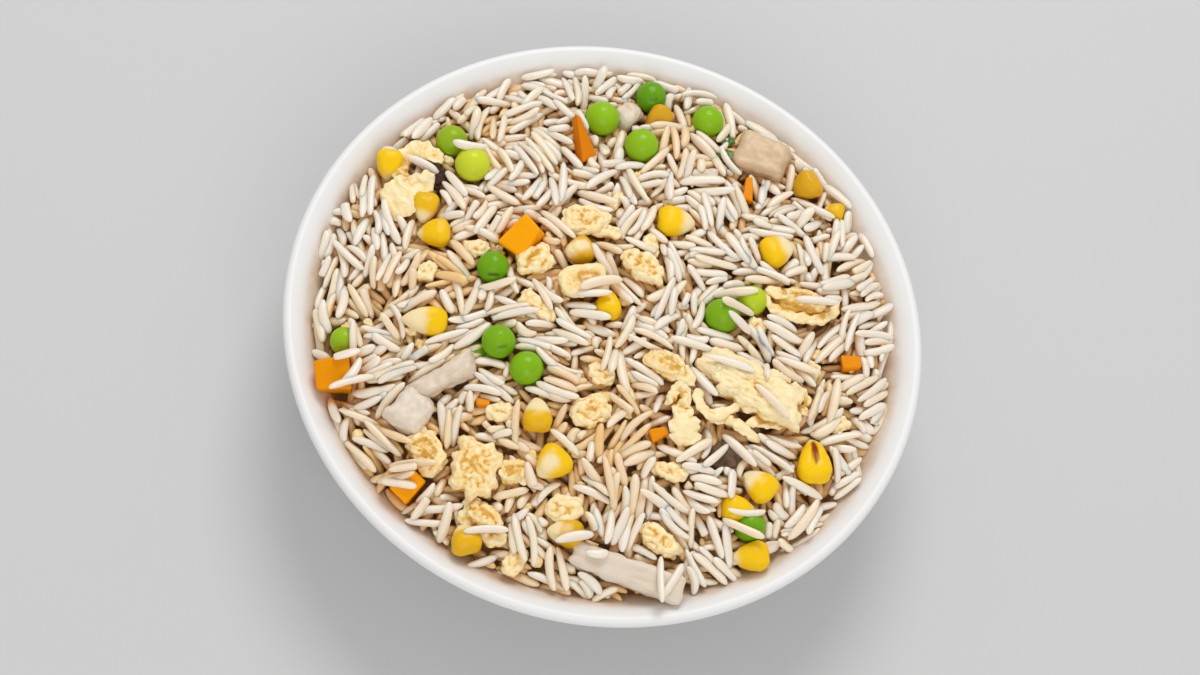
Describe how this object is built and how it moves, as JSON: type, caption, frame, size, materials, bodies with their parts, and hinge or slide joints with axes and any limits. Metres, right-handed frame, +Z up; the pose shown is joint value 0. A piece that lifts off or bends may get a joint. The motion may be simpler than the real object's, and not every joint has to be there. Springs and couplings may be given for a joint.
{
  "type": "fried rice plate",
  "caption": "Round white deep plate heaped with egg fried rice, with garden peas, sweetcorn, diced carrot, scrambled egg, chicken and mushroom.",
  "frame": {"origin": "centre of the foot ring, on the table", "axes": "+Z up, +X to the right and +Y to the back as the plate is served"},
  "size_m": [0.156, 0.156, 0.0446],
  "materials": {
    "plate": "smooth white glaze",
    "rice": "long-grain rice with a thin coat of oil and soy sauce",
    "pea": "moist green pea skin",
    "corn": "moist yellow kernel skin with a paler tip",
    "carrot": "moist cut carrot",
    "egg": "soft scrambled egg, pale yellow",
    "chicken": "cooked chicken, pale beige",
    "mushroom": "cooked dark mushroom"
  },
  "bodies": {
    "root": {"plate": "plate", "rice": "rice", "pea_1": "pea", "pea_2": "pea", "pea_3": "pea", "pea_4": "pea", "pea_5": "pea", "pea_6": "pea", "pea_7": "pea", "pea_8": "pea", "pea_9": "pea", "pea_10": "pea", "pea_11": "pea", "pea_12": "pea", "pea_13": "pea", "pea_14": "pea", "corn_1": "corn", "corn_2": "corn", "corn_3": "corn", "corn_4": "corn", "corn_5": "corn", "corn_6": "corn", "corn_7": "corn", "corn_8": "corn", "corn_9": "corn", "corn_10": "corn", "corn_11": "corn", "corn_12": "corn", "corn_13": "corn", "corn_14": "corn", "corn_15": "corn", "corn_16": "corn", "corn_17": "corn", "corn_18": "corn", "carrot_1": "carrot", "carrot_2": "carrot", "carrot_3": "carrot", "carrot_4": "carrot", "chicken_1": "chicken", "chicken_2": "chicken", "chicken_3": "chicken", "chicken_4": "chicken", "mushroom_1": "mushroom", "mushroom_2": "mushroom", "egg_1": "egg", "egg_2": "egg", "egg_3": "egg", "egg_4": "egg", "egg_5": "egg", "egg_6": "egg", "egg_7": "egg", "egg_8": "egg", "egg_9": "egg", "egg_10": "egg", "egg_11": "egg", "egg_12": "egg", "egg_13": "egg", "egg_14": "egg", "egg_15": "egg", "egg_16": "egg"}
  },
  "joints": []
}
